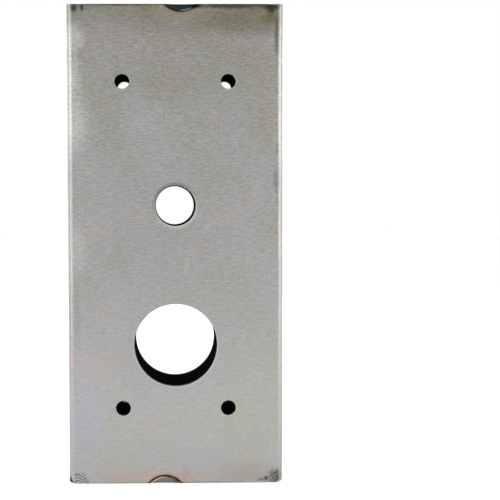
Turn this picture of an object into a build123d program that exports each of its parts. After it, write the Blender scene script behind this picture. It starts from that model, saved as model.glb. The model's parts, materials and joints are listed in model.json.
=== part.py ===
from build123d import *
import os
from math import sqrt

# Weldable lock box: a steel box that is welded into a gate frame and holds a lock.
# Millimetres. X runs across the face, Y from front to back, Z up.
# The origin is the middle of the lower end, and the face with the lock holes is at -Y.

# Outside of the box
box_width = 139.7
box_depth = 44.45
box_height = 311.15

# Folded sheet
sheet = 2.66
bend_inside = 1.0
fit_up_gap = 0.15
edge_break = 0.3
corner_relief = 2.0

# Lock holes, through the face and the back plate, with heights above the lower end
lock_bore = 53.975
lock_bore_height = 91.0
spindle_bore = 26.2
spindle_bore_height = 181.8
bolt_hole = 9.525
bolt_spacing_across = 68.6
bolt_spacing_up = 212.2
lower_bolt_height = 49.6

# Latch window in the +X wall and the two tapped tabs welded behind it
latch_face_width = 28.575
latch_face_height = 57.15
latch_face_corner = 0.6
latch_barrel = 25.4
tab_sheet = 2.66
tab_gap = 18.1
tab_side_lap = 1.8
tab_end_lap = 5.0
tab_corner = 1.2
screw_spacing = 41.275
screw_hole = 3.45
tab_bead_leg = 2.4
tab_bead_length = 20.0

# Fusion welds along the outside edges: length along the edge and leg on each face
end_seam_length = 22.8
top_seam_leg = 5.0
top_seam_offset = 3.8
bottom_seam_leg = 5.6
bottom_seam_offset = -7.1
lower_wall_seam_length = 19.4
lower_wall_seam_leg = 7.0
lower_wall_seam_height = 102.4
upper_wall_seam_length = 23.4
upper_wall_seam_leg = 6.2
upper_wall_seam_height = 193.9
bead_crown_radius = 6.5
bead_crown_drop = 1.1

# Welds at the corners: melted round at the back, dressed flush at the front
rear_corner_weld = 6.9
rear_corner_ball = 8.5
front_corner_weld = 7.0
front_corner_dressing = 1.0
ground_reach = 6.0
ground_ball = 18.0

# Derived places
bend_outside = bend_inside + sheet
half_width = box_width / 2
half_depth = box_depth / 2
inner_half_width = half_width - sheet
back_length = 2 * (inner_half_width - fit_up_gap)
back_depth = box_depth - sheet - fit_up_gap
bolt_heights = (lower_bolt_height, lower_bolt_height + bolt_spacing_up)
through_holes = [(lock_bore, 0, lock_bore_height), (spindle_bore, 0, spindle_bore_height)]
for bolt_height in bolt_heights:
    for side in (-1, 1):
        through_holes.append((bolt_hole, side * bolt_spacing_across / 2, bolt_height))


def folded_channel(across, deep, length):
    """Sheet folded to a U along Z: web on the X axis, flanges rising along +Y, free edges broken."""
    outer = Pos(0, deep / 2) * Rectangle(across, deep)
    outer = fillet(outer.vertices().group_by(Axis.Y)[0], bend_outside)
    block = extrude(outer, length)
    ends = block.edges().group_by(Axis.Z)
    free_edges = block.edges().filter_by(Axis.Z).group_by(Axis.Y)[-1]
    block = chamfer(ends[0] + ends[-1] + free_edges, edge_break)
    inner = Pos(0, sheet + deep / 2) * Rectangle(across - 2 * sheet, deep)
    inner = fillet(inner.vertices().group_by(Axis.Y)[0], bend_inside)
    return block - extrude(inner, length)


def drilled(plate, outside_face):
    """Lock holes through a plate, with their outer rims broken. outside_face picks the outer face."""
    for diameter, x, z in through_holes:
        plate -= Pos(x, 0, z) * Rot(90, 0, 0) * Cylinder(diameter / 2, 2 * box_depth)
    rims = [edge for wire in outside_face(plate).inner_wires() for edge in wire.edges()]
    return chamfer(rims, edge_break)


def ball_inset(reach, radius):
    """Inset, on all three axes, of a ball that leaves a box corner's edges at the given reach."""
    return (reach + sqrt(3 * radius**2 - 2 * reach**2)) / 3


def corner_places(y):
    """The four box corners at one depth, with the signs that point outwards along X and Z."""
    for x_sign in (-1, 1):
        for z_sign in (-1, 1):
            yield x_sign, z_sign, Vector(x_sign * half_width, y, (1 + z_sign) * box_height / 2)


def melted(radius, *spots):
    """Metal that melts where round spots meet. Each spot is a centre and the normal of its sheet."""
    pool = outside_box
    for centre, normal in spots:
        pool = pool & (Plane(origin=centre, z_dir=normal) * Cylinder(radius, 4 * radius))
    return pool - cavity


def seam_weld(place, along, face_normal, end_normal, length, leg):
    """Pool of one weld that melts the two sheets at an outside edge, and its crowned bead."""
    arc_radius = (length**2 / 4 + leg**2) / (2 * leg)
    rise = arc_radius - leg
    face_spot = (place + rise * end_normal, face_normal)
    end_spot = (place + rise * face_normal, end_normal)
    pool = melted(arc_radius, face_spot, end_spot)
    frame = Plane(origin=place, x_dir=along, z_dir=face_normal + end_normal)
    ring_radius = (length**2 / 4 + bead_crown_drop**2) / (2 * bead_crown_drop)
    crown = Rot(90, 0, 0) * Torus(ring_radius, bead_crown_radius)
    crown = frame * Pos(0, 0, ring_radius - bead_crown_radius - bead_crown_drop) * crown
    return pool, pool & crown


# Outside forms and the hollow that trim the beads
cavity = Box(2 * inner_half_width, box_depth - 2 * sheet, box_height - 2 * sheet)
cavity = Pos(0, 0, box_height / 2) * cavity
outside_box = Pos(0, 0, box_height / 2) * Box(box_width, box_depth, box_height)
side_outline = Rectangle(box_depth, box_height)
side_outline = fillet(side_outline.vertices().group_by(Axis.X)[-1], bend_outside)
side_outline = fillet(side_outline.vertices().group_by(Axis.X)[0], front_corner_dressing)
dressed_box = Plane.YZ * Pos(0, box_height / 2) * extrude(side_outline, half_width, both=True)

# Front channel: the face and both long walls, folded from one sheet
front_channel = Pos(0, -half_depth, 0) * folded_channel(box_width, box_depth, box_height)
front_channel = drilled(front_channel, lambda part: part.faces().sort_by(Axis.Y)[0])
window = Plane.YZ * Pos(0, lock_bore_height) * RectangleRounded(
    latch_face_width, latch_face_height, latch_face_corner
)
front_channel -= Pos(half_width - sheet, 0, 0) * extrude(window, sheet, both=True)
window_rim = front_channel.faces().sort_by(Axis.X)[-1].inner_wires()[0].edges()
front_channel = chamfer(window_rim, edge_break)

# Lower front corners, where the dressing has ground the fold's ends round
inset = ball_inset(ground_reach, ground_ball)
for x_sign, z_sign, corner in corner_places(-half_depth):
    if z_sign < 0:
        block_centre = corner + Vector(-x_sign * inset / 2, inset / 2, inset / 2)
        ball_centre = corner + Vector(-x_sign * inset, inset, inset)
        block = Pos(block_centre) * Box(inset, inset, inset)
        front_channel -= block - Pos(ball_centre) * Sphere(ground_ball)

# Back channel: the back plate and both end plates, folded from one sheet, fitted inside the walls
back_corner = (-back_length / 2, half_depth, box_height / 2)
back_frame = Plane(origin=back_corner, x_dir=(0, 0, 1), z_dir=(1, 0, 0))
back_channel = back_frame * folded_channel(box_height, back_depth, back_length)
back_channel = drilled(back_channel, lambda part: part.faces().sort_by(Axis.Y)[-1])
relief_side = corner_relief * sqrt(2)
relief = Rot(0, 0, 45) * Box(relief_side, relief_side, 2 * box_height)
for x_sign in (-1, 1):
    back_channel -= Pos(x_sign * back_length / 2, half_depth - back_depth, box_height / 2) * relief

# Latch tabs: one above and one below the latch, behind the window, with the barrel's arc cut in each
barrel = Rot(0, 90, 0) * Cylinder(latch_barrel / 2, 4 * tab_sheet)
barrel = Pos(inner_half_width, 0, lock_bore_height) * barrel
tab_reach = (latch_face_height - tab_gap) / 2 + tab_end_lap
tab_wide = latch_face_width + 2 * tab_side_lap
latch_tabs = {}
tab_beads = []
for name, z_sign in (("latch_tab_upper", 1), ("latch_tab_lower", -1)):
    blank = RectangleRounded(tab_wide, tab_reach, tab_corner)
    blank = Plane.YZ * Pos(0, lock_bore_height + z_sign * (tab_gap + tab_reach) / 2) * blank
    tab = Pos(inner_half_width - tab_sheet, 0, 0) * extrude(blank, tab_sheet)
    screw = Pos(inner_half_width, 0, lock_bore_height + z_sign * screw_spacing / 2)
    screw = screw * Rot(0, 90, 0) * Cylinder(screw_hole / 2, 4 * tab_sheet)
    latch_tabs[name] = tab - barrel - screw
    seat = Pos(inner_half_width, 0, lock_bore_height + z_sign * (tab_gap / 2 + tab_reach))
    bead = Rot(90, 0, 0) * Cylinder(tab_bead_leg, tab_bead_length)
    nook = Pos(-tab_bead_leg / 2, 0, z_sign * tab_bead_leg / 2)
    nook = nook * Box(tab_bead_leg, tab_bead_length, tab_bead_leg)
    tab_beads.append(seat * (bead & nook))

# Seam welds: one in the middle of each end of the face, two along the rear edge of each wall
pools = []
seam_beads = []
seams = []
end_seams = ((1, top_seam_offset, top_seam_leg), (-1, bottom_seam_offset, bottom_seam_leg))
for z_sign, offset, leg in end_seams:
    place = Vector(offset, -half_depth, (1 + z_sign) * box_height / 2)
    normals = Vector(0, -1, 0), Vector(0, 0, z_sign)
    seams.append((place, Vector(1, 0, 0), *normals, end_seam_length, leg))
wall_seams = (
    (lower_wall_seam_height, lower_wall_seam_length, lower_wall_seam_leg),
    (upper_wall_seam_height, upper_wall_seam_length, upper_wall_seam_leg),
)
for x_sign in (-1, 1):
    for height, length, leg in wall_seams:
        place = Vector(x_sign * half_width, half_depth, height)
        normals = Vector(x_sign, 0, 0), Vector(0, 1, 0)
        seams.append((place, Vector(0, 0, 1), *normals, length, leg))
for seam in seams:
    pool, bead = seam_weld(*seam)
    pools.append(pool)
    seam_beads.append(bead)

# Rear corner welds: each melts the corner of wall, end and back plate into a rounded knob
rear_beads = []
inset = ball_inset(rear_corner_weld, rear_corner_ball)
for x_sign, z_sign, corner in corner_places(half_depth):
    pool = outside_box & Pos(corner) * Sphere(rear_corner_weld)
    pool -= cavity
    ball_centre = corner + Vector(-x_sign * inset, -inset, -z_sign * inset)
    pools.append(pool)
    ball = Pos(ball_centre) * Sphere(rear_corner_ball)
    rear_beads.append(pool & dressed_box & ball)

# Front corner welds: beside the folds at each end of the face, dressed flush
front_beads = []
flat_face = Box(2 * (half_width - bend_outside), 2 * box_depth, 2 * box_height)
flat_face = Pos(0, 0, box_height / 2) * flat_face
for x_sign, z_sign, corner in corner_places(-half_depth):
    fold_end = corner - Vector(x_sign * bend_outside, 0, 0)
    pool = melted(front_corner_weld, *[(fold_end, axis.direction) for axis in (Axis.Y, Axis.Z)])
    pool = pool & flat_face
    pools.append(pool)
    front_beads.append(pool & dressed_box)

for pool in pools:
    front_channel -= pool
    back_channel -= pool

nodes = {
    "front_channel": [front_channel],
    "back_channel": [back_channel],
    "seam_welds": seam_beads,
    "rear_corner_welds": rear_beads,
    "front_corner_welds": front_beads,
    "latch_tab_welds": tab_beads,
}
for name, tab in latch_tabs.items():
    nodes[name] = [tab]

os.makedirs("parts", exist_ok=True)
for name, pieces in nodes.items():
    solids = [solid for piece in pieces for solid in piece.solids()]
    export_step(Compound(children=solids), f"parts/{name}.step")
    print(name, len(solids), "solids", round(sum(solid.volume for solid in solids), 1), "mm3")
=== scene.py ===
import json
import math
import bpy
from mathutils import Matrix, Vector

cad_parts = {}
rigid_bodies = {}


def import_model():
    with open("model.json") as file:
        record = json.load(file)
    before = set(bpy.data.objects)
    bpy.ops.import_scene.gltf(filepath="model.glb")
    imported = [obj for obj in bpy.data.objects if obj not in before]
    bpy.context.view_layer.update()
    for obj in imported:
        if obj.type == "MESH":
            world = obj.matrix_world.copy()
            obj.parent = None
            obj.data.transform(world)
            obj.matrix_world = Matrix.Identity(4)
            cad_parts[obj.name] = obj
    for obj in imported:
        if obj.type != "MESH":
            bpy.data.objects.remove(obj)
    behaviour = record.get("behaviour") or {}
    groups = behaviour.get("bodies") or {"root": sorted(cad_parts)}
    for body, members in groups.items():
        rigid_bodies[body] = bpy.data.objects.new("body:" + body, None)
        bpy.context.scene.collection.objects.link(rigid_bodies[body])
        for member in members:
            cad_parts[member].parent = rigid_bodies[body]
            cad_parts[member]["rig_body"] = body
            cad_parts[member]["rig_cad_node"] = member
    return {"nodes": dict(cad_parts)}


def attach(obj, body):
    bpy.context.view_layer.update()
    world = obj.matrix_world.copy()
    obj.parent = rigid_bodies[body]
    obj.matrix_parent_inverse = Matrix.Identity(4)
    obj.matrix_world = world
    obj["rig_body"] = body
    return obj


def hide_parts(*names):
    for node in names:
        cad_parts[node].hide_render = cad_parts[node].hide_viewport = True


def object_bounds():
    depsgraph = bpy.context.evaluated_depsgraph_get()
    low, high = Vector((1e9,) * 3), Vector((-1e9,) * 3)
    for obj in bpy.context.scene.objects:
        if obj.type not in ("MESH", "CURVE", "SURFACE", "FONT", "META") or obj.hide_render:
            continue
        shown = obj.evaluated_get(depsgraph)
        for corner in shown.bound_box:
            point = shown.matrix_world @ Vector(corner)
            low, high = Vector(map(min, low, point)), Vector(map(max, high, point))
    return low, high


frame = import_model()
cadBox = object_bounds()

print("lock box: frame loaded,", len(frame["nodes"]), "pieces from the source")

scene = bpy.context.scene
scene.view_settings.view_transform = "Standard"
mm = 0.001  # in metres, the scene's unit


def hexColor(code):
    # sRGB hex to the linear colour that Blender's sockets take
    parts = [int(code[i:i + 2], 16) / 255 for i in (1, 3, 5)]
    return [c / 12.92 if c <= 0.04045 else ((c + 0.055) / 1.055) ** 2.4 for c in parts] + [1.0]


def addNode(tree, kind, values=None, links=None, stops=None, **settings):
    # one node with its settings, socket values, incoming links and colour stops; a socket given by name
    # is the one in use, and a node given as a link stands for its first output in use
    made = tree.nodes.new(kind)
    for key, value in settings.items():
        setattr(made, key, value)
    sockets = {socket.name: socket for socket in reversed(made.inputs) if socket.enabled}
    sockets.update(enumerate(made.inputs))
    for key, value in (values or {}).items():
        sockets[key].default_value = value
    for key, source in (links or {}).items():
        if isinstance(source, bpy.types.Node):
            source = next(output for output in source.outputs if output.enabled)
        tree.links.new(source, sockets[key])
    if stops:
        ramp = made.color_ramp
        while len(ramp.elements) < len(stops):
            ramp.elements.new(1.0)
        for element, (place, code, alpha) in zip(ramp.elements, stops):
            element.position = place
            element.color = hexColor(code)[:3] + [alpha]
    return made


def newMaterial(name):
    # an empty material and its node tree
    made = bpy.data.materials.new(name)
    made.use_nodes = True
    made.node_tree.nodes.clear()
    return made, made.node_tree


def placeInMm(tree):
    # the place on the piece, in mm
    coords = addNode(tree, "ShaderNodeTexCoord").outputs["Object"]
    return addNode(tree, "ShaderNodeVectorMath", {"Scale": 1 / mm}, {0: coords}, operation="SCALE")


def axesOf(tree, vector):
    return addNode(tree, "ShaderNodeSeparateXYZ", links={0: vector}).outputs


noiseCore, noiseSpan = (0.3, 0.7), (0.25, 0.75)  # where most of a noise's values lie, and nearly all


def noise(tree, space, scale, detail, **more):
    # more gives other sockets by name
    return addNode(tree, "ShaderNodeTexNoise", {"Scale": scale, "Detail": detail, **more}, {"Vector": space})


def remap(tree, source, reads, gives=(0.0, 1.0), **settings):
    # takes one pair of levels to another
    levels = dict(enumerate((*reads, *gives), start=1))
    return addNode(tree, "ShaderNodeMapRange", levels, {0: source}, **settings)


def times(tree, first, second):
    return addNode(tree, "ShaderNodeMath", links={0: first, 1: second}, operation="MULTIPLY")


def brighten(tree, color, level):
    return addNode(tree, "ShaderNodeVectorMath", links={0: color, "Scale": level}, operation="SCALE")


def tintsAlong(tree, source, stops):
    return addNode(tree, "ShaderNodeValToRGB", links={"Fac": source}, stops=stops)


def paintOver(tree, color, tint, amount):
    # lays a tint, which is a hex code or a node, over a colour by an amount from 0 to 1
    values, links = {}, {"Factor": amount, "A": color}
    if isinstance(tint, str):
        values["B"] = hexColor(tint)
    else:
        links["B"] = tint
    return addNode(tree, "ShaderNodeMix", values, links, data_type="RGBA")


# The box, in mm, as the source has it
box = {"halfWidth": 69.85, "halfDepth": 22.225, "height": 311.15, "sheet": 2.66}
window = {"middle": 91.0, "wide": 28.575, "tall": 57.15}
middle = Vector((0, 0, box["height"] / 2 * mm))
right, back, top = box["halfWidth"], box["halfDepth"], box["height"]

# Welds, in mm. Each one melts two sheets together at an outside edge. "out" points away from both sheets,
# and "reach" stretches the heat colours round it.
seamWelds = {
    "topSeam": {"place": (3.8, -back, top), "along": (1, 0, 0), "out": (0, -1, 1),
                "length": 22.8, "leg": 5.0, "reach": 0.7},
    "bottomSeam": {"place": (-7.1, -back, 0), "along": (1, 0, 0), "out": (0, -1, -1),
                   "length": 22.8, "leg": 5.6, "reach": 0.5},
    "latchWallLower": {"place": (right, back, 102.4), "along": (0, 0, 1), "out": (1, 1, 0),
                       "length": 19.4, "leg": 7.0, "reach": 1.3},
    "latchWallUpper": {"place": (right, back, 193.9), "along": (0, 0, 1), "out": (1, 1, 0),
                       "length": 23.4, "leg": 6.2, "reach": 1.0},
    "plainWallLower": {"place": (-right, back, 102.4), "along": (0, 0, 1), "out": (-1, 1, 0),
                       "length": 19.4, "leg": 7.0, "reach": 1.1},
    "plainWallUpper": {"place": (-right, back, 193.9), "along": (0, 0, 1), "out": (-1, 1, 0),
                       "length": 23.4, "leg": 6.2, "reach": 1.0},
}
cornerWelds = {
    "rearLowerLatch": {"place": (right, back, 0), "along": (0, 0, 1), "length": 13.8, "reach": 1.0},
    "rearUpperLatch": {"place": (right, back, top), "along": (0, 0, -1), "length": 13.8, "reach": 1.0},
    "rearLowerPlain": {"place": (-right, back, 0), "along": (0, 0, 1), "length": 13.8, "reach": 1.0},
    "rearUpperPlain": {"place": (-right, back, top), "along": (0, 0, -1), "length": 13.8, "reach": 1.0},
}
allWelds = {**seamWelds, **cornerWelds}

# A ball round each weld whose cut through both faces is the weld's outline: centre, radius, reach
heatSpots = {}
for name, weld in seamWelds.items():
    arc = (weld["length"] ** 2 / 4 + weld["leg"] ** 2) / (2 * weld["leg"])
    rise = arc - weld["leg"]
    centre = Vector(weld["place"]) + rise * Vector(weld["out"])
    heatSpots[name] = (centre, math.hypot(arc, rise), weld["reach"])
for name, weld in cornerWelds.items():
    heatSpots[name] = (Vector(weld["place"]), weld["length"] / 2, weld["reach"])

# Cold-rolled sheet steel, left bare: a dull grey with fine lines along the rolling direction, cloudy
# patches of oil and handling, straw, brown and blue heat colours round the welds, and soot at the ends,
# with painted shade towards the top, on the walls and inside, and painted highlights along folds and rims.
steelLook = {
    "roughness": (0.31, 0.43),
    "relief": 0.03,          # mm, depth of the rolling lines
    "lineLength": 4.5,       # mm, along the rolling lines
    "lineWidth": 0.8,        # mm; real lines are about 0.1 mm, drawn coarser so that they show
    "speckSize": 1.3,        # mm, pitting of the rolled skin, also drawn coarser
    "cloudSize": 30.0,       # mm
    "patchSize": 60.0,       # mm
    "lineSpread": 0.17, "speckSpread": 0.12, "patchSpread": 0.03,  # how far each one lightens and darkens
    # strength of the grain at two heights, in mm
    "grainHeights": (30.0, 290.0), "grain": (0.5, 1.3),
    "cloudTints": ((0.3, "#ACA6A2", 1), (0.42, "#A5A8A3", 1), (0.5, "#AAA8A8", 1), (0.58, "#A6A7AA", 1),
                   (0.7, "#ACA7A3", 1)),
    # from the lower end to the upper: painted shade, darker towards the top, and warmer towards the smoked
    # top
    "shadeAndSmokeTints": ((0.0, "#FBFBFB", 1), (0.16, "#FAFAFA", 1), (0.42, "#EAEAE9", 1), (0.8, "#E9E7E3", 1),
                    (0.93, "#E3DFD9", 1), (1.0, "#D6D1C8", 1)),
    # painted shade: the walls are darker than the face, and browner above
    "wallShadeTints": ((0.0, "#F0F0F0", 1), (0.25, "#F1F0EE", 1), (0.5, "#F5F0EA", 1), (1.0, "#F5F0E7", 1)),
    "wallStarts": (-21.0, -17.0),  # mm along Y, where the face goes over into the walls
    "smokePerMm": 0.35,      # noise that frays the edges of soot, scorch and heat colours
    "frayed": 0.9,           # how much it does so
    "markEdge": (0.7, 1.6),  # where a mark starts to fade and is gone, in its half sizes, fraying counted
    "heatTints": ((0.0, "#241811", 0.9), (0.022, "#3A2A1E", 0.72), (0.06, "#75604E", 0.45),
                  (0.18, "#B39D82", 0.38), (0.42, "#B5A398", 0.22), (1.0, "#ADA59C", 0.0)),
    "heatWidth": 13.0,       # mm from the weld to bare steel
    "heatWander": (0.3, 1.7),       # how far the fraying draws that out and in
    "spatter": "#2B231D",    # burnt specks thrown out by the welding
    "spatterSpacing": 3.2,   # mm
    "spatterSize": (0.07, 0.13),    # a speck's dark middle and outline, in spacings
    "spatterDark": 0.85,
    "spatterLeftOut": 0.72,  # share of the specks that didn't land
    "spatterReach": (0.7, 1.6),     # where specks get fewer and end, in heat widths
    "inside": "#1C1B1B",     # painted shade: the inside of the box, near black
    "holeWall": "#35332F",   # drilled edges, painted dark
    "holeRimHighlight": "#DAD9D6",    # painted highlight on the deburred edges of the lock holes
    "windowRimHighlight": "#C6C5C1",  # painted highlight on the broken edge of the latch window
    "rimEdge": (0.3, 0.75),  # mm, how far a rim is bright and where that ends
    "rimBright": (0.4, 0, -0.9),    # way to the brightest part of the painted highlight on a hole's rim
    "windowShine": 0.8, "windowShift": (0.35, 0.2),  # mm forward and up, where the window's rim is widest
    "sheared": "#6E6C68",    # walls of the latch window
    "skin": 0.04,            # mm, nearer than this to a hole is the hole's own wall
    # painted shade and highlight on the skin that the punch drew in, darker above the hole and lighter below
    # it
    "dishShading": ((0.0, "#76716C", 1), (0.35, "#8C8985", 1), (0.6, "#A09E9B", 1), (1.0, "#B2B1AF", 1)),
    "dishShadingShare": 0.8,
    "foldHighlight": "#E2E2DF",     # painted highlight beside the folds
    "foldHighlightEdge": (1.8, 2.7),       # mm in from the wall, where the bright strip ends
    "foldFront": (-21.5, -20.6),    # mm along Y, where it ends round the fold
    "dashShade": "#50524A",    # painted shade, in dashes beside the folds
    "dashes": (2.5, 40.0, 3.5),     # mm, size of a dash along X, Y and Z
    "dashLevels": (0.46, 0.66),     # of its noise, clear and dark
    "dashLine": 4.1,         # mm in from the wall
    "dashWidth": (0.3, 1.0),        # mm to each side of that line
    "dashHeights": (110.0, 160.0),  # mm, over which the dashes come up
    "flatEnds": (right - 3.8, right - 3.2),  # mm along X, where the face goes over into a fold
    "loopLevels": (0.1, 0.6),       # of the grinding disc's loops, dark and clear
    "loopEdge": (0.95, 1.1),        # where they fade and end, in half sizes of the mark
}
# Lock holes: centre and diameter in mm, how bright the painted highlight on the rim is, and how wide the
# punch drew the skin in, in mm
holes = {
    "lockBore": (0, 91.0, 53.975, 0.85, 0), "spindleBore": (0, 181.8, 26.2, 0.8, 2.4),
    "boltLowerLeft": (-34.3, 49.6, 9.525, 0.5, 0), "boltLowerRight": (34.3, 49.6, 9.525, 0.5, 0),
    "boltUpperLeft": (-34.3, 261.8, 9.525, 0.5, 0), "boltUpperRight": (34.3, 261.8, 9.525, 0.5, 0),
}
# Folds of the face: side, the heights in mm between which the painted highlight strip comes up, how bright
# it gets, and how dark the dashes of painted shade beside it are
folds = {"latchFold": (1, (5, 115), 0.38, 0.34), "plainFold": (-1, (5, 280), 0.3, 0.14)}

# Soot, scorch, stains, painted highlights and painted shade: centre and half sizes in mm, tint, strength,
# above 1 for a sharp edge
faceMarks = {
    # painted highlights: the sheet curves up into the plain fold and reflects the light there
    "plainFoldHighlightTop": ((-66.0, -back, 289.0), (9.0, 7.0, 12.0), "#DCDCD8", 0.32),
    "plainFoldHighlightNext": ((-67.5, -back, 267.0), (8.5, 7.0, 16.0), "#DCDCD8", 0.3),
    "plainFoldHighlightHigh": ((-67.0, -back, 236.0), (12.0, 7.0, 27.0), "#D8D8D5", 0.32),
    "paleFold": ((-65.0, -back, 152.0), (9.0, 7.0, 24.0), "#C8C8C6", 0.18),
    "dullFold": ((-63.8, -back, 107.0), (3.0, 4.0, 26.0), "#8C8C8C", 0.35),
    "paleMiddle": ((-12.0, -back, 232.0), (26.0, 7.0, 22.0), "#A3A4A7", 0.4),
    "lavenderLow": ((-60.0, -back, 42.0), (15.0, 8.0, 62.0), "#A3A2AE", 0.4),
    "yellowLow": ((50.0, -back, 42.0), (28.0, 8.0, 60.0), "#A1A196", 0.5),
    # painted shade darkening the top of the face, together with its smoke
    "topSmokeAndShade": ((16.0, -back, 303.0), (62.0, 9.0, 12.0), "#7F7968", 0.44),
    "oliveHigh": ((46.0, -back, 300.0), (32.0, 10.0, 12.0), "#6D6A54", 0.62),
    "tanHigh": ((-16.2, -back, 308.0), (5.0, 5.0, 3.4), "#857B4A", 0.55),
    "topEdgeLatch": ((38.0, -back, 310.2), (32.0, 5.0, 2.8), "#34372A", 0.85),
    "topEdgePlain": ((-32.0, -back, 311.0), (36.0, 4.0, 1.7), "#55584B", 0.9),
    "topCornerLatch": ((62.0, -back, 309.2), (7.5, 5.0, 3.0), "#2A2E22", 0.9),
    "topCornerRust": ((53.0, -back, 307.0), (4.2, 4.0, 2.5), "#84603A", 0.5),
    "topCornerBrown": ((61.6, -back, 306.6), (3.0, 4.0, 2.6), "#3C2E19", 0.85),
    "topCornerOlive": ((61.5, -back, 302.5), (8.0, 4.0, 5.0), "#62573F", 0.6),
    "latchFoldShade": ((65.4, -back, 292.0), (1.9, 4.0, 18.0), "#4C4E46", 0.6),
    "plainCornerOlive": ((-57.0, -back, 309.6), (13.0, 4.0, 3.0), "#6E7463", 0.6),
    "plainCornerBlot": ((-65.0, -back, 308.6), (2.8, 4.0, 3.4), "#35352A", 0.85),
    "plainCornerStreak": ((-59.6, -back, 309.4), (1.6, 4.0, 3.6), "#2B2D26", 0.8),
    "bottomEdge": ((0.0, -back, -0.4), (66.0, 4.0, 1.9), "#5B4D40", 0.6),
    "bottomWarm": ((-10.0, -back, 4.5), (52.0, 8.0, 7.0), "#B59F90", 0.3),
    "bottomPurple": ((7.0, -back, 5.0), (5.0, 4.0, 4.0), "#9C8592", 0.35),
    # painted shade on the rounded lower corner, which faces down and away from the light
    "plainCornerShade": ((-69.6, -19.0, -1.0), (2.9, 8.0, 6.2), "#0F0E0D", 3.0),
    "bottomBlush": ((48.0, -back, 7.0), (24.0, 8.0, 9.0), "#99908A", 0.45),
    "latchFoldSmudge": ((65.2, -back, 198.0), (2.4, 4.0, 9.0), "#6A6A64", 0.5),
    "latchCornerDark": ((64.8, -back, 3.6), (5.4, 4.0, 6.8), "#565A50", 0.65),
    "latchCornerLine": ((66.4, -back, 3.4), (1.0, 4.0, 7.4), "#34352F", 0.6),
    # painted shade on the outer side of the latch fold's curve
    "latchFoldOuterShade": ((right, -20.2, 55.0), (1.4, 3.0, 70.0), "#83827E", 0.5),
    "latchCornerBlot": ((58.9, -back, 3.0), (1.9, 4.0, 2.1), "#3A332D", 0.9),
    "latchCornerTail": ((55.8, -back, 2.2), (3.4, 4.0, 1.3), "#6A6254", 0.7),
    "weldSmear": ((12.6, -back, 310.2), (5.6, 4.0, 2.2), "#0C0C0A", 1.0),
}
wallMarks = {
    "latchWallTop": ((right, 0.0, 306.0), (5.0, 30.0, 13.0), "#7F7563", 0.5),
    "plainWallTop": ((-right, 0.0, 306.0), (5.0, 30.0, 13.0), "#7F7563", 0.5),
    "aboveWindow": ((right, -2.0, 121.5), (5.0, 15.0, 4.5), "#8E7F66", 0.5),
    "belowWindow": ((right, -7.5, 60.0), (5.0, 6.0, 3.6), "#8F805F", 0.5),
    "belowWindowRear": ((right, 9.0, 59.0), (5.0, 6.0, 5.0), "#A98C7C", 0.4),
    "burnUpper": ((right, 17.6, 111.0), (4.0, 5.6, 5.6), "#2C1E14", 0.9),
    "burnBrown": ((right, 17.0, 115.0), (4.0, 6.0, 6.0), "#7A6040", 0.5),
    "burnMaroon": ((right, 15.6, 102.5), (4.0, 2.8, 7.0), "#3D2422", 0.85),
    "burnPurple": ((right, 16.2, 95.5), (4.0, 3.4, 4.0), "#51445B", 0.8),
    "burnStraw": ((right, 18.5, 91.0), (4.0, 4.0, 3.0), "#A98D4E", 0.6),
    # painted highlight where the latch fold reflects the light, high up
    "latchFoldHighlight": ((right, -20.6, 250.0), (4.0, 8.5, 62.0), "#D8D4CE", 0.78),
    # painted shade on the front of the bend, holding its reflection down
    "bendShadeHigh": ((right, -22.0, 250.0), (4.0, 3.6, 75.0), "#A09E99", 0.8),
    "plainWallSmudge": ((-right, 4.0, 140.0), (5.0, 14.0, 26.0), "#8F8C84", 0.35),
}
backMarks = {
    "backSmokeTop": ((0.0, back, 304.0), (80.0, 6.0, 12.0), "#7F7868", 0.45),
    "backHandled": ((-28.0, back, 205.0), (22.0, 6.0, 30.0), "#8C8A84", 0.35),
    "backStraw": ((38.0, back, 128.0), (16.0, 6.0, 22.0), "#A39C86", 0.35),
    "backScuff": ((20.0, back, 22.0), (30.0, 6.0, 8.0), "#BDBDBA", 0.3),
}
# Disc marks where the lower corners of the face were dressed: centre and half sizes in mm, tint, strength
discMarks = {
    "plainCorner": ((-64.2, -back, 0.4), (6.8, 8.0, 7.2), "#484848", 0.75),
    "latchCorner": ((66.2, -back, 0.2), (6.6, 8.0, 8.4), "#2C2D28", 0.65),
}


def cloudySkin(tree, place, axes, look):
    # cloudy tints over painted shade: darker and warmer towards the top, and darker and browner on the walls
    clouds = noise(tree, place, 1 / look["cloudSize"], 2.0, Roughness=0.45, Distortion=0.4)
    color = tintsAlong(tree, clouds, look["cloudTints"])
    upward = addNode(tree, "ShaderNodeMath", {1: top}, {0: axes["Z"]}, operation="DIVIDE")
    tint = tintsAlong(tree, upward, look["shadeAndSmokeTints"])
    color = addNode(tree, "ShaderNodeMix", {"Factor": 1.0}, {"A": color, "B": tint},
                    data_type="RGBA", blend_type="MULTIPLY")
    onWall = remap(tree, axes["Y"], look["wallStarts"])
    tint = tintsAlong(tree, upward, look["wallShadeTints"])
    color = addNode(tree, "ShaderNodeMix", links={"Factor": onWall, "A": color, "B": tint},
                    data_type="RGBA", blend_type="MULTIPLY")
    return color, clouds


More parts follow.
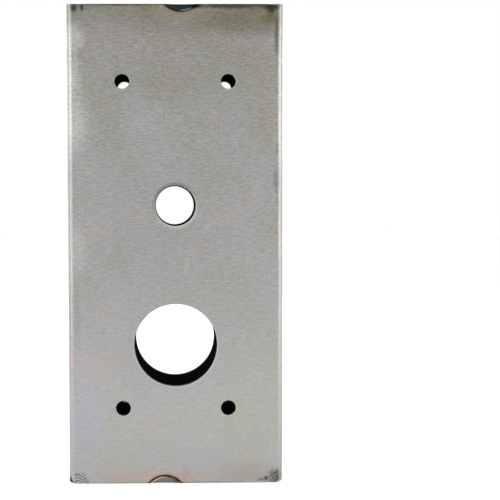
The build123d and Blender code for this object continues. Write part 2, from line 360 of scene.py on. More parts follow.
def rollingGrain(tree, place, axes, look, lines, color):
    # rolling lines, specks and wide patches, stronger towards the top
    space = addNode(tree, "ShaderNodeVectorMath", {1: lines}, {0: place}, operation="DIVIDE")
    rolled = noise(tree, space, 1.0, 2.0, Distortion=0.5)
    specks = noise(tree, place, 1 / look["speckSize"], 2.0)
    patches = noise(tree, place, 1 / look["patchSize"], 2.0)
    gain = remap(tree, axes["Z"], look["grainHeights"], look["grain"])
    for grain, kind in ((patches, "patch"), (rolled, "line"), (specks, "speck")):
        spread = look[kind + "Spread"]
        level = remap(tree, grain, noiseSpan, (-spread, spread))
        level = addNode(tree, "ShaderNodeMath", {2: 1.0}, {0: level, 1: gain}, operation="MULTIPLY_ADD")
        color = brighten(tree, color, level)
    return color, rolled


def fromSpot(tree, place, centre, half):
    # offset from a spot in half sizes of the spot, and its length, which is 1 on the spot's outline
    offset = addNode(tree, "ShaderNodeVectorMath", {1: centre}, {0: place}, operation="SUBTRACT")
    offset = addNode(tree, "ShaderNodeVectorMath", {1: half}, {0: offset}, operation="DIVIDE")
    far = addNode(tree, "ShaderNodeVectorMath", links={0: offset}, operation="LENGTH")
    return {"offset": offset, "far": far}


def scorchedPlaces(tree, place, smoke, look, marks, color):
    # soot and scorch with frayed edges
    for centre, half, code, strength in marks.values():
        far = fromSpot(tree, place, centre, half)["far"]
        far = addNode(tree, "ShaderNodeMath", {1: look["frayed"]}, {0: smoke, 2: far},
                      operation="MULTIPLY_ADD")
        amount = remap(tree, far, look["markEdge"], (strength, 0.0), interpolation_type="SMOOTHSTEP")
        color = paintOver(tree, color, code, amount)
    return color


def dressedCorners(tree, place, axes, look, color):
    # the grinding disc left a few dark loops at the lower corners, on the flat beside each fold
    beside = addNode(tree, "ShaderNodeMath", links={0: axes["X"]}, operation="ABSOLUTE")
    onFlat = remap(tree, beside, look["flatEnds"], (1.0, 0.0))
    for centre, half, code, strength in discMarks.values():
        spot = fromSpot(tree, place, centre, half)
        loops = addNode(tree, "ShaderNodeTexWave",
                        {"Scale": 1.2, "Distortion": 4.5, "Detail": 2.0, "Detail Scale": 1.3},
                        {"Vector": spot["offset"]}, wave_type="RINGS", rings_direction="SPHERICAL")
        amount = remap(tree, loops.outputs["Fac"], look["loopLevels"], (strength, 0.0))
        edge = remap(tree, spot["far"], look["loopEdge"], (1.0, 0.0))
        amount = times(tree, times(tree, amount, edge), onFlat)
        color = paintOver(tree, color, code, amount)
    return color


def heatColors(tree, place, smoke, look, color):
    # heat colours by distance from the nearest weld, in heat widths, and specks of spatter
    nearest = None
    for centre, radius, reach in heatSpots.values():
        far = addNode(tree, "ShaderNodeVectorMath", {1: centre}, {0: place}, operation="DISTANCE")
        far = addNode(tree, "ShaderNodeMath", {1: radius}, {0: far}, operation="SUBTRACT")
        far = addNode(tree, "ShaderNodeMath", {1: reach * look["heatWidth"]}, {0: far}, operation="DIVIDE")
        if nearest:
            far = addNode(tree, "ShaderNodeMath", links={0: nearest, 1: far}, operation="MINIMUM")
        nearest = far
    wander = remap(tree, smoke, (0.0, 1.0), look["heatWander"])
    heat = tintsAlong(tree, times(tree, nearest, wander), look["heatTints"])
    color = paintOver(tree, color, heat, heat.outputs["Alpha"])
    thrown = addNode(tree, "ShaderNodeTexVoronoi", {"Scale": 1 / look["spatterSpacing"]}, {"Vector": place})
    speck = remap(tree, thrown, look["spatterSize"], (look["spatterDark"], 0.0))
    chosen = addNode(tree, "ShaderNodeSeparateColor", links={0: thrown.outputs["Color"]})
    chosen = addNode(tree, "ShaderNodeMath", {1: look["spatterLeftOut"]}, {0: chosen},
                     operation="GREATER_THAN")
    close = remap(tree, nearest, look["spatterReach"], (1.0, 0.0))
    return paintOver(tree, color, look["spatter"], times(tree, times(tree, speck, chosen), close))


def paintedFoldHighlights(tree, place, axes, look, color):
    # a painted highlight strip along both folds, where the curved sheet reflects the light, and dark dashes
    # of painted shade beside it
    front = remap(tree, axes["Y"], look["foldFront"], (1.0, 0.0))
    space = addNode(tree, "ShaderNodeVectorMath", {1: look["dashes"]}, {0: place}, operation="DIVIDE")
    dashes = remap(tree, noise(tree, space, 1.0, 1.0), look["dashLevels"])
    dashes = times(tree, dashes, remap(tree, axes["Z"], look["dashHeights"]))
    for side, heights, bright, dark in folds.values():
        inboard = addNode(tree, "ShaderNodeMath", {1: -side, 2: right}, {0: axes["X"]},
                          operation="MULTIPLY_ADD")
        line = addNode(tree, "ShaderNodeMath", {1: look["dashLine"]}, {0: inboard}, operation="SUBTRACT")
        line = addNode(tree, "ShaderNodeMath", links={0: line}, operation="ABSOLUTE")
        line = remap(tree, line, look["dashWidth"], (dark, 0.0))
        strip = remap(tree, inboard, look["foldHighlightEdge"], (1.0, 0.0), interpolation_type="SMOOTHSTEP")
        worn = remap(tree, axes["Z"], heights, (0.0, bright))
        for band, amount, tint in ((line, dashes, look["dashShade"]), (strip, worn, look["foldHighlight"])):
            amount = times(tree, times(tree, band, amount), front)
            color = paintOver(tree, color, tint, amount)
    return color


def holeRims(tree, axes, look, color):
    # painted highlights on the deburred rims of the lock holes, brightest below, their dark walls, and
    # painted shade and highlight on the skin drawn in by the punch
    flat = addNode(tree, "ShaderNodeCombineXYZ", links={"X": axes["X"], "Z": axes["Z"]})
    for x, z, diameter, shine, drawn in holes.values():
        radius = diameter / 2
        offset = addNode(tree, "ShaderNodeVectorMath", {1: (x, 0, z)}, {0: flat}, operation="SUBTRACT")
        far = addNode(tree, "ShaderNodeVectorMath", links={0: offset}, operation="LENGTH")
        far = addNode(tree, "ShaderNodeMath", {1: radius}, {0: far}, operation="SUBTRACT")
        below = addNode(tree, "ShaderNodeVectorMath", {1: look["rimBright"]}, {0: offset},
                        operation="DOT_PRODUCT")
        below = remap(tree, below, (-radius, radius))
        if drawn:
            full = (look["dishShadingShare"], 0.0)
            tint = tintsAlong(tree, below, look["dishShading"])
            color = paintOver(tree, color, tint, remap(tree, far, (drawn / 2, drawn), full))
        amount = times(tree, remap(tree, far, look["rimEdge"], (shine, 0.0)), below)
        color = paintOver(tree, color, look["holeRimHighlight"], amount)
        amount = addNode(tree, "ShaderNodeMath", {1: look["skin"]}, {0: far}, operation="LESS_THAN")
        color = paintOver(tree, color, look["holeWall"], amount)
    return color


def besideWindow(tree, place, forward=0.0, up=0.0):
    # distance out from the edges of the latch window, or of one moved a little, in mm
    half = (0, window["wide"] / 2, window["tall"] / 2)
    beside = addNode(tree, "ShaderNodeVectorMath", {1: (0, -forward, window["middle"] + up)}, {0: place},
                     operation="SUBTRACT")
    beside = addNode(tree, "ShaderNodeVectorMath", links={0: beside}, operation="ABSOLUTE")
    beside = axesOf(tree, addNode(tree, "ShaderNodeVectorMath", {1: half}, {0: beside}, operation="SUBTRACT"))
    return addNode(tree, "ShaderNodeMath", links={0: beside["Y"], 1: beside["Z"]}, operation="MAXIMUM")


def windowEdges(tree, place, axes, look, color):
    # a painted highlight on the latch window's broken edge, most at the front and top; its sheared walls are
    # dull
    onWall = addNode(tree, "ShaderNodeMath", {1: 0.0}, {0: axes["X"]}, operation="GREATER_THAN")
    rim = besideWindow(tree, place, *look["windowShift"])
    rim = remap(tree, rim, look["rimEdge"], (look["windowShine"], 0.0))
    color = paintOver(tree, color, look["windowRimHighlight"], times(tree, rim, onWall))
    cut = addNode(tree, "ShaderNodeMath", {1: look["skin"]}, {0: besideWindow(tree, place)},
                  operation="LESS_THAN")
    return paintOver(tree, color, look["sheared"], times(tree, cut, onWall))


def paintedInsideShade(tree, place, look, color):
    # painted shade: the inside of the box and the inner faces of the sheets, near black
    wall = box["sheet"] - 0.15  # mm, a little short of the inner faces
    inner = (right - wall, back - wall, top / 2 - wall)
    deep = addNode(tree, "ShaderNodeVectorMath", {1: (0, 0, top / 2)}, {0: place}, operation="SUBTRACT")
    deep = addNode(tree, "ShaderNodeVectorMath", links={0: deep}, operation="ABSOLUTE")
    deep = axesOf(tree, addNode(tree, "ShaderNodeVectorMath", {1: inner}, {0: deep}, operation="SUBTRACT"))
    most = addNode(tree, "ShaderNodeMath", links={0: deep["X"], 1: deep["Y"]}, operation="MAXIMUM")
    most = addNode(tree, "ShaderNodeMath", links={0: most, 1: deep["Z"]}, operation="MAXIMUM")
    amount = addNode(tree, "ShaderNodeMath", {1: 0.0}, {0: most}, operation="LESS_THAN")
    return paintOver(tree, color, look["inside"], amount)


def fineRelief(tree, height, depth):
    # depth in mm
    return addNode(tree, "ShaderNodeBump", {"Strength": 0.35, "Distance": depth * mm}, {"Height": height})


def bareMetal(tree, color, rough, relief):
    # metal; nearly black colour, soot and the painted shade inside, is matt and not metal
    sootAndShadeLevels = (0.008, 0.03)
    light = addNode(tree, "ShaderNodeRGBToBW", links={0: color})
    metal = remap(tree, light, sootAndShadeLevels)
    matt = remap(tree, light, sootAndShadeLevels, (0.85, 0.0))
    rough = addNode(tree, "ShaderNodeMath", links={0: rough, 1: matt}, operation="MAXIMUM")
    shader = addNode(tree, "ShaderNodeBsdfPrincipled", {"Specular IOR Level": 0.1},
                     {"Base Color": color, "Metallic": metal, "Roughness": rough, "Normal": relief})
    addNode(tree, "ShaderNodeOutputMaterial", links={"Surface": shader})


def frozenMetal(tree, color, rough, relief):
    # a weld's skin, glossy all over
    shader = addNode(tree, "ShaderNodeBsdfPrincipled", {"Metallic": 1.0},
                     {"Base Color": color, "Roughness": rough, "Normal": relief})
    addNode(tree, "ShaderNodeOutputMaterial", links={"Surface": shader})


def steelMaterial(name, look, lines, marks):
    # lines gives the size of a rolling line along X, Y and Z, in mm
    made, tree = newMaterial(name)
    place = placeInMm(tree)
    axes = axesOf(tree, place)
    smoke = noise(tree, place, look["smokePerMm"], 4.0, Roughness=0.65)
    color, clouds = cloudySkin(tree, place, axes, look)
    color = heatColors(tree, place, smoke, look, color)
    color = scorchedPlaces(tree, place, smoke, look, marks, color)
    color, rolled = rollingGrain(tree, place, axes, look, lines, color)
    color = dressedCorners(tree, place, axes, look, color)
    color = paintedFoldHighlights(tree, place, axes, look, color)
    color = holeRims(tree, axes, look, color)
    color = windowEdges(tree, place, axes, look, color)
    color = paintedInsideShade(tree, place, look, color)
    rough = remap(tree, clouds, noiseCore, look["roughness"])
    bareMetal(tree, color, rough, fineRelief(tree, rolled, look["relief"]))
    return made


lineLength, lineWidth = steelLook["lineLength"], steelLook["lineWidth"]
alongX, alongZ = (lineLength, lineLength, lineWidth), (lineWidth, lineLength, lineLength)
frontSteel = steelMaterial("coldRolledSteelFace", steelLook, alongX, {**faceMarks, **wallMarks})
backSteel = steelMaterial("coldRolledSteelBack", steelLook, alongZ, backMarks)
# Disc-ground weld: the corner welds of the face, dressed flush, with lines up the box and a tighter sheen
groundSteel = steelMaterial("discGroundWeld", {**steelLook, "roughness": (0.26, 0.38)}, alongZ, faceMarks)

# Tab steel: offcuts of the same sheet, cleaner than the box, with a painted highlight along the cut edge,
# painted shade towards the top and beside the window's walls, and the sides facing into the box painted near
# black as shade.
tabLook = {
    # painted shade: darker towards the top of the window, where its upper wall shades the tab
    "tints": ((0.0, "#9C9C9A", 1), (0.52, "#9C9C9A", 1), (0.68, "#8F8F8C", 1), (0.85, "#7B7A77", 1),
              (1.0, "#605F5C", 1)),
    "roughness": (0.3, 0.46), "relief": 0.03,  # relief in mm
    "lineLength": 6.0, "lineWidth": 0.7,       # mm, drawn coarser than real
    "lineLevels": (0.9, 1.1),
    "oilPerMm": 0.16, "oilDrift": 0.1,         # how far oil moves the tints up and down
    "recessShadeShift": (0.7, 0.4),                  # mm, the part clear of painted shade lies forward and up
    "recessShadeEdge": (-0.3, 0.9),                  # mm out from the part clear of painted shade
    # the cut edge's tint is a painted highlight; the tint of the sides facing into the box and the one beside
    # the window's walls are painted shade
    "edge": "#D0CFCB", "shadedBacks": "#1E1D1D", "recessShade": "#2A2927", "countersunk": "#B4B3AF",
    "edgeWidth": (0.35, 0.8), "lipWidth": (0.3, 0.8),  # mm, how far each is bright and where that ends
    "shown": (62.4, 119.6),                    # mm, the heights that the window shows
    "arc": 12.7, "gap": 18.1, "screws": (70.36, 111.64), "screwHole": 3.45, "threadPitch": 0.8,
}


def cutEdgeHighlight(tree, flat, axes, look, color):
    # painted highlight on the barrel's arc and the straight ends beside it, brightest on the upper tab
    middleOfTabs = window["middle"]
    curved = addNode(tree, "ShaderNodeVectorMath", {1: (0, 0, middleOfTabs)}, {0: flat}, operation="DISTANCE")
    curved = addNode(tree, "ShaderNodeMath", {1: look["arc"]}, {0: curved}, operation="SUBTRACT")
    straight = addNode(tree, "ShaderNodeMath", {1: middleOfTabs}, {0: axes["Z"]}, operation="SUBTRACT")
    straight = addNode(tree, "ShaderNodeMath", links={0: straight}, operation="ABSOLUTE")
    straight = addNode(tree, "ShaderNodeMath", {1: look["gap"] / 2}, {0: straight}, operation="SUBTRACT")
    edge = addNode(tree, "ShaderNodeMath", links={0: curved, 1: straight}, operation="MINIMUM")
    bright = remap(tree, edge, look["edgeWidth"], (0.85, 0.0))
    above = remap(tree, axes["Z"], (middleOfTabs - 3, middleOfTabs + 3), (0.15, 1.0))
    return paintOver(tree, color, look["edge"], times(tree, bright, above))


def paintedWindowShade(tree, place, oil, look, color):
    # painted shade where the window's walls shade the tab, most at the rear and bottom
    near = besideWindow(tree, place, *look["recessShadeShift"])
    near = addNode(tree, "ShaderNodeMath", {1: 0.6}, {0: oil, 2: near}, operation="MULTIPLY_ADD")
    amount = remap(tree, near, look["recessShadeEdge"], (0.0, 0.9), interpolation_type="SMOOTHSTEP")
    return paintOver(tree, color, look["recessShade"], amount)


def tappedHoles(tree, flat, axes, look, color):
    # a bright lip, and threads that run along X, painted as bands of shade and highlight
    thread = addNode(tree, "ShaderNodeMath", {1: 2 * math.pi / look["threadPitch"]}, {0: axes["X"]},
                     operation="MULTIPLY")
    thread = addNode(tree, "ShaderNodeMath", links={0: thread}, operation="SINE")
    thread = remap(tree, thread, (-1.0, 1.0), (0.0, 0.35))
    thread = addNode(tree, "ShaderNodeMix", {"A": hexColor(look["shadedBacks"]), "B": hexColor(look["edge"])},
                     {"Factor": thread}, data_type="RGBA")
    radius = look["screwHole"] / 2
    lip = [radius + width for width in look["lipWidth"]]
    for screw in look["screws"]:
        far = addNode(tree, "ShaderNodeVectorMath", {1: (0, 0, screw)}, {0: flat}, operation="DISTANCE")
        color = paintOver(tree, color, look["countersunk"], remap(tree, far, lip, (0.6, 0.0)))
        wall = addNode(tree, "ShaderNodeMath", {1: radius + 0.05}, {0: far}, operation="LESS_THAN")
        color = paintOver(tree, color, thread, wall)
    return color


def tabMaterial(name, look):
    made, tree = newMaterial(name)
    place = placeInMm(tree)
    axes = axesOf(tree, place)
    flat = addNode(tree, "ShaderNodeCombineXYZ", links={"Y": axes["Y"], "Z": axes["Z"]})
    line = (look["lineLength"], look["lineLength"], look["lineWidth"])
    space = addNode(tree, "ShaderNodeVectorMath", {1: line}, {0: place}, operation="DIVIDE")
    rolled = noise(tree, space, 1.0, 3.0)
    oil = noise(tree, place, look["oilPerMm"], 3.0)
    upward = remap(tree, axes["Z"], look["shown"])
    upward = addNode(tree, "ShaderNodeMath", {1: look["oilDrift"]}, {0: oil, 2: upward},
                     operation="MULTIPLY_ADD")
    # painted shade, darker towards the top of the window
    color = tintsAlong(tree, upward, look["tints"])
    color = brighten(tree, color, remap(tree, rolled, noiseSpan, look["lineLevels"]))
    color = cutEdgeHighlight(tree, flat, axes, look, color)
    color = paintedWindowShade(tree, place, oil, look, color)
    color = tappedHoles(tree, flat, axes, look, color)
    # the tab's side facing into the box is painted near black as shade
    behind = addNode(tree, "ShaderNodeMath", {1: right - box["sheet"] - 0.5}, {0: axes["X"]},
                     operation="LESS_THAN")
    color = paintOver(tree, color, look["shadedBacks"], behind)
    rough = remap(tree, oil, noiseCore, look["roughness"])
    bareMetal(tree, color, rough, fineRelief(tree, rolled, look["relief"]))
    return made


tabSteel = tabMaterial("offcutTabSteel", tabLook)
finishes = {
    "front_channel": frontSteel, "back_channel": backSteel, "front_corner_welds": groundSteel,
    "latch_tab_upper": tabSteel, "latch_tab_lower": tabSteel, "latch_tab_welds": tabSteel,
}
for node, finish in finishes.items():
    mesh = frame["nodes"][node].data
    mesh.materials.clear()
    mesh.materials.append(finish)
print("steel: finishes on", len(finishes), "pieces of the source")

# Fusion welds, left as they froze: a smooth puddle with faint ripples, oxide from brown at the toe to
# blue-black in the middle. Tints run from the toe, at 0, to the outer edge of the box, at 1. The glint band
# is a painted highlight, a paler band inside the rim, and the scorch a darker end: tint, strength, and where
# each starts and is full along the weld, from -1 to 1.
darkPuddle = {
    "tints": ((0.0, "#2A1710", 1), (0.17, "#3A2216", 1), (0.28, "#5A5452", 1), (0.42, "#2B3536", 1),
              (1.0, "#263034", 1)),
    "rim": 0.12, "glintBand": ("#8F8079", 0.9, 0.9, -0.5), "scorch": ("#141312", 0.6, -0.3, -1.0),
}
cornerPuddle = {
    "tints": ((0.0, "#24170F", 1), (0.18, "#2A1C14", 1), (0.32, "#1F2022", 1), (0.6, "#17181A", 1),
              (1.0, "#24272C", 1)),
    "rim": 0.2, "glintBand": ("#59626C", 0.6, 0.1, 0.8), "scorch": ("#0E0D0C", 0.5, 0.1, -0.6),
    "ripple": 1.9,
}
lowerCornerPuddle = {
    "tints": ((0.0, "#4A3A20", 1), (0.16, "#2C2416", 1), (0.34, "#4C4A3A", 1), (0.6, "#3F3F34", 1),
              (1.0, "#66665C", 1)),
    "rim": 0.3, "glintBand": ("#A9A89C", 0.7, 0.1, 0.7), "scorch": ("#17130D", 0.6, 0.3, -0.5),
    "ripple": 1.6, "mottle": (0.35, 1.7),
}
beads = {
    "topSeamBead": {
        "node": "seam_welds", "spot": "topSeam", "ripple": 1.7,
        "tints": ((0.0, "#1D110C", 1), (0.10, "#40190F", 1), (0.17, "#3C241C", 1), (0.26, "#2B3B3A", 1),
                  (1.0, "#223836", 1)),
        "rim": 0.1, "glintBand": ("#B3A49B", 0.95, -0.2, 0.25), "scorch": ("#0A0B0A", 1.0, 0.42, 0.72),
    },
    "bottomSeamBead": {
        "node": "seam_welds", "spot": "bottomSeam", "ripple": 2.1,
        "tints": ((0.0, "#2B2114", 1), (0.19, "#47371F", 1), (0.28, "#7A7466", 1), (0.5, "#757A72", 1),
                  (0.8, "#6B6F68", 1), (1.0, "#45413A", 1)),
        "rim": 0.19, "glintBand": ("#CDC2AC", 0.95, 0.25, -0.15), "scorch": ("#3B3424", 0.8, 0.1, 0.8),
    },
    "latchWallLowerBead": {
        "node": "seam_welds", "spot": "latchWallLower", "ripple": 1.5,
        "tints": ((0.0, "#8A8564", 1), (0.06, "#3F2422", 1), (0.3, "#4A2C2B", 1), (0.46, "#555D69", 1),
                  (0.8, "#4A525F", 1), (1.0, "#3A414C", 1)),
        "rim": 0.1, "glintBand": ("#7A6A64", 0.5, 0.4, -0.6), "scorch": ("#1D1410", 0.85, 0.35, 0.8),
    },
    "latchWallUpperBead": {
        "node": "seam_welds", "spot": "latchWallUpper", "ripple": 1.8,
        "tints": ((0.0, "#1E120C", 1), (0.22, "#2C1C15", 1), (0.30, "#4A4346", 1), (0.44, "#1D2227", 1),
                  (1.0, "#222930", 1)),
        # here the scorch tint is pale blue-grey: a painted highlight at the lower end
        "rim": 0.2, "glintBand": ("#857A7B", 0.75, 0.8, 0.0), "scorch": ("#8A97A3", 0.5, -0.35, -0.8),
    },
    "plainWallLowerBead": {"node": "seam_welds", "spot": "plainWallLower", "ripple": 1.6, **darkPuddle},
    "plainWallUpperBead": {"node": "seam_welds", "spot": "plainWallUpper", "ripple": 1.9, **darkPuddle},
}
for name in cornerWelds:
    puddle = lowerCornerPuddle if "Lower" in name else cornerPuddle
    beads[name + "Bead"] = {"node": "rear_corner_welds", "spot": name, **puddle}

# noise in each weld's skin, per mm, its relief in mm, and how far each noise moves the tints inwards
weldSkin = {
    "flecksPerMm": 0.9, "driftPerMm": 0.22, "spotsPerMm": 1.6, "roughness": (0.22, 0.42), "relief": 0.05,
    "fleckShare": 0.035, "driftShare": 0.3, "glintBandWidth": 0.18, "mottle": (0.65, 1.3),
}


def glintBandAndScorch(tree, inward, along, bead, width, color):
    # the glint band is a painted highlight just inside the rim
    code, strength, start, full = bead["glintBand"]
    rim = bead["rim"]
    band = ((rim, code, 0.0), (rim + width / 2, code, strength), (rim + width, code, 0.0))
    pale = tintsAlong(tree, inward, band)
    amount = remap(tree, along, (start, full), interpolation_type="SMOOTHSTEP")
    color = paintOver(tree, color, pale, times(tree, amount, pale.outputs["Alpha"]))
    code, strength, start, full = bead["scorch"]
    amount = remap(tree, along, (start, full), (0.0, strength), interpolation_type="SMOOTHSTEP")
    return paintOver(tree, color, code, amount)


def weldMaterial(name, bead, look):
    weld = allWelds[bead["spot"]]
    centre, radius = heatSpots[bead["spot"]][:2]
    edge = (Vector(weld["place"]) - centre).length  # mm from the ball's centre to the outer edge of the box
    made, tree = newMaterial(name)
    place = placeInMm(tree)
    flecks = noise(tree, place, look["flecksPerMm"], 4.0, Roughness=0.6)
    drift = noise(tree, place, look["driftPerMm"], 2.0)
    spots = noise(tree, place, look["spotsPerMm"], 3.0)

    # from the toe inwards, wandering a little
    far = addNode(tree, "ShaderNodeVectorMath", {1: centre}, {0: place}, operation="DISTANCE")
    inward = remap(tree, far, (radius, edge), clamp=False)
    for wander, share in ((flecks, look["fleckShare"]), (drift, look["driftShare"])):
        shift = addNode(tree, "ShaderNodeMath", {1: 0.5}, {0: wander}, operation="SUBTRACT")
        inward = addNode(tree, "ShaderNodeMath", {1: share}, {0: shift, 2: inward}, operation="MULTIPLY_ADD")
    color = tintsAlong(tree, inward, bead["tints"])

    # along the weld, -1 at one end and 1 at the other
    along = addNode(tree, "ShaderNodeVectorMath", {1: weld["place"]}, {0: place}, operation="SUBTRACT")
    along = addNode(tree, "ShaderNodeVectorMath", {1: Vector(weld["along"]) * 2 / weld["length"]}, {0: along},
                    operation="DOT_PRODUCT")
    color = glintBandAndScorch(tree, inward, along, bead, look["glintBandWidth"], color)
    level = remap(tree, spots, noiseCore, bead.get("mottle", look["mottle"]))
    color = brighten(tree, color, level)
    rough = remap(tree, flecks, noiseCore, look["roughness"])
    frozenMetal(tree, color, rough, fineRelief(tree, flecks, look["relief"]))
    return made


def selectOnly(piece):
    bpy.ops.object.select_all(action="DESELECT")
    piece.select_set(True)
    bpy.context.view_layer.objects.active = piece


def applyModifier(kind, **settings):
    bpy.ops.object.modifier_add(type=kind)
    added = bpy.context.object.modifiers[-1]
    for key, value in settings.items():
        setattr(added, key, value)
    bpy.ops.object.modifier_apply(modifier=added.name)


# sizes in mm, but "stretch" is a share of the length and "melt" a count; "around" its place there is one
# bead and no part of another; "sunk" keeps a bead just under the skin, so that the sheets' own edges draw
# its outline
beadShape = {"around": 20.0, "merge": 0.002, "stretch": 0.14, "voxel": 0.25, "melt": 9, "swell": 0.3,
             "lumps": 0.2, "lumpSize": 2.2, "ripples": 0.12, "ripplesPast": 9.0, "sunk": 0.012}
# the wood texture's rings lie "spacing" apart before they are scaled to mm
rippleRings = {"noiseSize": 0.5, "spacing": 0.314, "turbulence": 4.0}


def copyFromSource(name, bead, shape):
    # the source's own solid of this bead, alone in a mesh of its own
    place = Vector(allWelds[bead["spot"]]["place"]) * mm
    selectOnly(frame["nodes"][bead["node"]])
    bpy.ops.object.duplicate()
    piece = bpy.context.object
    piece.name = name
    piece.parent = None
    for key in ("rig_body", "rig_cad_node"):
        del piece[key]
    piece.data.materials.clear()
    bpy.ops.object.mode_set(mode="EDIT")
    bpy.ops.mesh.select_mode(type="VERT")
    bpy.ops.mesh.select_all(action="SELECT")
    bpy.ops.mesh.remove_doubles(threshold=shape["merge"] * mm)
    bpy.ops.mesh.customdata_custom_splitnormals_clear()
    bpy.ops.mesh.select_all(action="DESELECT")
    bpy.ops.object.mode_set(mode="OBJECT")
    for vertex in piece.data.vertices:
        vertex.select = (vertex.co - place).length > shape["around"] * mm
    bpy.ops.object.mode_set(mode="EDIT")
    bpy.ops.mesh.delete(type="VERT")
    bpy.ops.object.mode_set(mode="OBJECT")
    return piece


def rippleBead(piece, bead, shape):
    # lumps, and ripples that are rings round a point past the bead's end
    weld = allWelds[bead["spot"]]
    past = Vector(weld["along"]) * (weld["length"] / 2 + shape["ripplesPast"])
    bpy.ops.object.empty_add(location=(Vector(weld["place"]) + past) * mm)
    ringCentre = bpy.context.object
    ringCentre.scale = [bead["ripple"] * mm / rippleRings["spacing"]] * 3
    rings = bpy.data.textures.new(piece.name + "Rings", "WOOD")
    rings.wood_type = "RINGNOISE"
    rings.noise_scale = rippleRings["noiseSize"]
    rings.turbulence = rippleRings["turbulence"]
    lumps = bpy.data.textures.new(piece.name + "Lumps", "CLOUDS")
    lumps.noise_scale = shape["lumpSize"] * mm
    selectOnly(piece)
    bpy.context.view_layer.update()
    applyModifier("DISPLACE", texture=lumps, texture_coords="LOCAL",
                  mid_level=0.0, strength=-shape["lumps"] * mm)
    applyModifier("DISPLACE", texture=rings, texture_coords="OBJECT", texture_coords_object=ringCentre,
                  mid_level=0.0, strength=-shape["ripples"] * mm)
    selectOnly(ringCentre)
    bpy.ops.object.delete()
    selectOnly(piece)


def makeBead(name, bead, shape):
    # a bead starts as the source's own solid, is remeshed fine, melted smooth, swollen back and rippled
    weld = allWelds[bead["spot"]]
    piece = copyFromSource(name, bead, shape)
    bpy.ops.object.mode_set(mode="EDIT")
    bpy.ops.mesh.select_all(action="SELECT")
    bpy.ops.transform.resize(value=[1 + shape["stretch"] * abs(a) for a in weld["along"]],
                             center_override=Vector(weld["place"]) * mm)
    bpy.ops.object.mode_set(mode="OBJECT")
    applyModifier("REMESH", mode="VOXEL", voxel_size=shape["voxel"] * mm)
    applyModifier("SMOOTH", factor=0.5, iterations=shape["melt"])
    applyModifier("DISPLACE", mid_level=0.0, strength=shape["swell"] * mm)
    rippleBead(piece, bead, shape)
    for vertex in piece.data.vertices:  # nothing stands proud of the sheets
        for axis in range(3):
            low, high = cadBox[0][axis] + shape["sunk"] * mm, cadBox[1][axis] - shape["sunk"] * mm
            vertex.co[axis] = min(max(vertex.co[axis], low), high)
    bpy.ops.object.shade_smooth()
    piece.data.materials.append(weldMaterial(name + "Oxide", bead, weldSkin))
    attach(piece, "root")
    return piece


welded = [(makeBead(name, bead, beadShape), bead["node"]) for name, bead in beads.items()]
for piece, node in welded:
    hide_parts(node)
print("welds:", len(welded), "beads,", sum(len(piece.data.polygons) for piece, _ in welded), "faces")

# Studio: white floor and surround, four large softboxes on the diagonals so that the folds catch light
studio = {"boxWide": 0.95, "boxTall": 0.95, "boxFar": 1.05, "boxHigh": 0.34, "boxGlow": 1.25,
          "surround": 0.56, "floorGlow": 0.5, "ceiling": 0.55}


def seenRays(tree):
    # 1 for rays from the camera, and for those that metal or glass sends on
    rays = addNode(tree, "ShaderNodeLightPath").outputs
    seen = addNode(tree, "ShaderNodeMath", links={0: rays["Is Camera Ray"], 1: rays["Is Glossy Ray"]})
    return addNode(tree, "ShaderNodeMath", links={0: seen, 1: rays["Is Transmission Ray"]}, use_clamp=True)


bpy.ops.object.select_all(action="DESELECT")
bpy.ops.mesh.primitive_plane_add(size=9.0, location=(0, 0, 0))
floor = bpy.context.object
floor.name = "studioFloor"
floorPaint, tree = newMaterial("mattWhiteFloor")
glow = addNode(tree, "ShaderNodeMath", {1: studio["floorGlow"]}, {0: seenRays(tree)}, operation="MULTIPLY")
paint = addNode(tree, "ShaderNodeBsdfPrincipled",
                {"Base Color": hexColor("#F3F3F1"), "Roughness": 0.9, "Specular IOR Level": 0.1,
                 "Emission Color": (1, 1, 1, 1)}, {"Emission Strength": glow})
addNode(tree, "ShaderNodeOutputMaterial", links={"Surface": paint})
floor.data.materials.append(floorPaint)

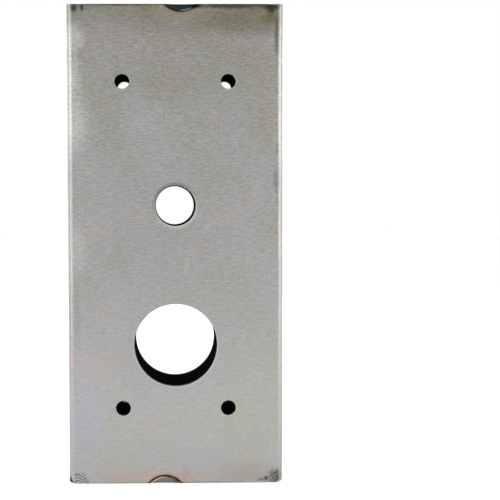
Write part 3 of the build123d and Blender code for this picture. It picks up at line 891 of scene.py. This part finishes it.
world = bpy.data.worlds.new("whiteSurround")
scene.world = world
world.use_nodes = True
tree = world.node_tree
tree.nodes.clear()
seen = seenRays(tree)
fromCamera = addNode(tree, "ShaderNodeLightPath").outputs["Is Camera Ray"]
upward = axesOf(tree, addNode(tree, "ShaderNodeTexCoord").outputs["Generated"])["Z"]
ceiling = remap(tree, upward, (0.0, 0.6), (1.0, studio["ceiling"]))
ceiling = addNode(tree, "ShaderNodeMath", links={0: ceiling, 1: fromCamera}, operation="MAXIMUM")
power = addNode(tree, "ShaderNodeMix", {"A": studio["surround"]}, {"Factor": seen, "B": ceiling})
sky = addNode(tree, "ShaderNodeBackground", {"Color": (1, 1, 1, 1)}, {"Strength": power})
addNode(tree, "ShaderNodeOutputWorld", links={"Surface": sky})

for i, degrees in enumerate((45, 135, 225, 315)):
    turn = math.radians(degrees)
    spot = Vector((math.sin(turn), -math.cos(turn), 0)) * studio["boxFar"] + Vector((0, 0, studio["boxHigh"]))
    bpy.ops.object.light_add(type="AREA", location=spot)
    softbox = bpy.context.object
    softbox.name = f"cornerSoftbox{i}"
    softbox.rotation_euler = (middle - spot).to_track_quat("-Z", "Y").to_euler()
    softbox.data.shape = "RECTANGLE"
    softbox.data.size = studio["boxWide"]
    softbox.data.size_y = studio["boxTall"]
    softbox.data.energy = studio["boxGlow"] * math.pi * studio["boxWide"] * studio["boxTall"]
    softbox.visible_camera = False
print("studio: floor, white surround and four softboxes")

# Camera, close to where the photograph was taken from; the shift puts the box at the left of the frame.
# Its place is in mm, its angles in radians.
view = {"place": (-7.58, -642.1, 185.8), "pitch": 0.0444, "yaw": 0.0164, "roll": -0.0025,
        "lens": 68.93, "shift": (0.1409, -0.016)}
bpy.ops.object.camera_add(location=Vector(view["place"]) * mm)
camera = bpy.context.object
camera.name = "frontCamera"
camera.rotation_euler = (math.pi / 2 - view["pitch"], 0, -view["yaw"])
camera.rotation_euler.rotate_axis("Z", view["roll"])
camera.data.lens = view["lens"]
camera.data.sensor_width = 36.0
camera.data.shift_x, camera.data.shift_y = view["shift"]
camera.data.clip_start = 0.01
camera.data.clip_end = 50.0
scene.camera = camera
print("camera: set")
